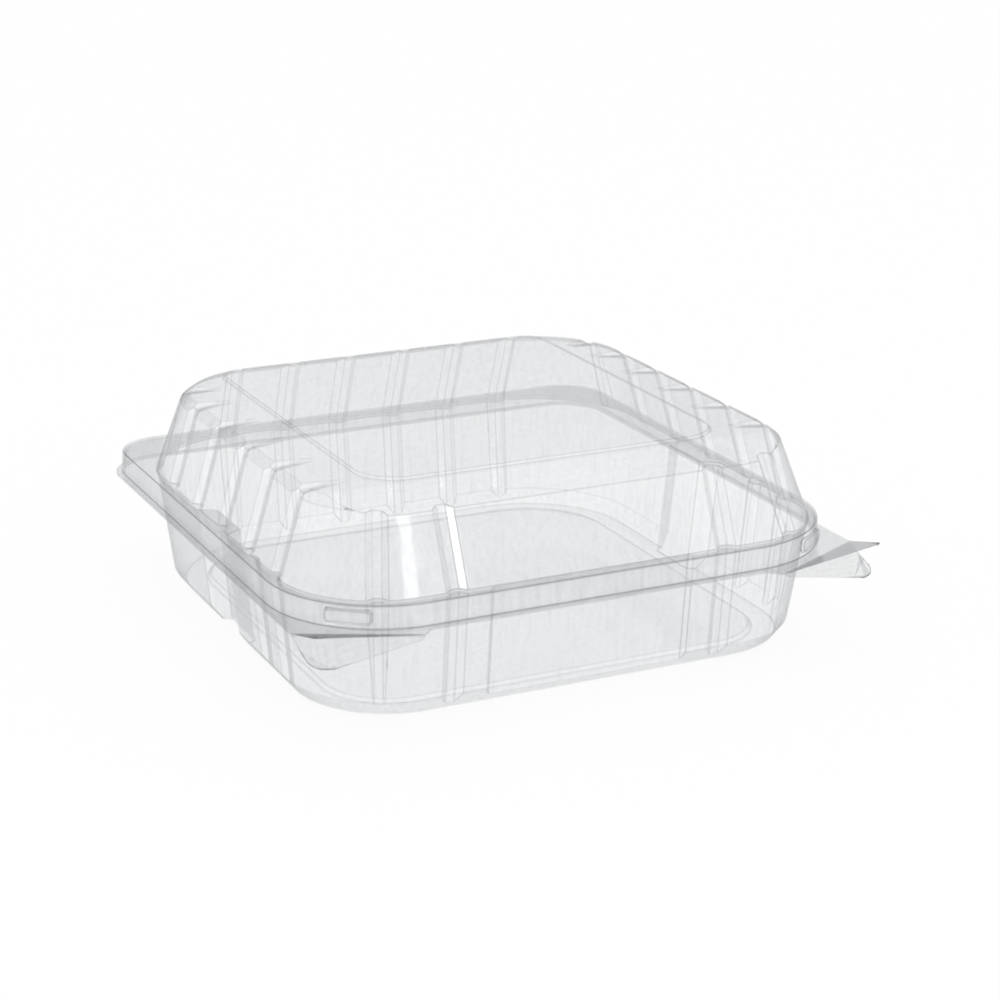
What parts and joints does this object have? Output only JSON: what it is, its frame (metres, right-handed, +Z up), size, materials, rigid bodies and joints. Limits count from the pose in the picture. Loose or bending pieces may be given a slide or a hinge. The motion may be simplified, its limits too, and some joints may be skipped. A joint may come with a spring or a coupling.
{
  "type": "hinged clear plastic food pack",
  "caption": "Square clear clamshell food pack: a deep tray and a fluted domed lid, hinged along the back edge, with gripping tabs at the two front corners.",
  "frame": {"origin": "centre of the footprint, on the surface that the foot ring stands on", "axes": "+Z up; -Y towards the opening edge with the two corner tabs; +Y towards the hinge; X across"},
  "size_m": [0.226, 0.2374, 0.0795],
  "materials": {
    "clear_plastic": "clear thermoformed sheet, glossy on both sides"
  },
  "bodies": {
    "tray": {"tray": "clear_plastic"},
    "lid": {"lid": "clear_plastic"}
  },
  "joints": [
    {"name": "lid_hinge", "type": "hinge", "parent": "tray", "child": "lid", "pos_m": [0, 0.1189, 0.0375], "axis": [-1, 0, 0], "range_deg": [0, 174]}
  ]
}
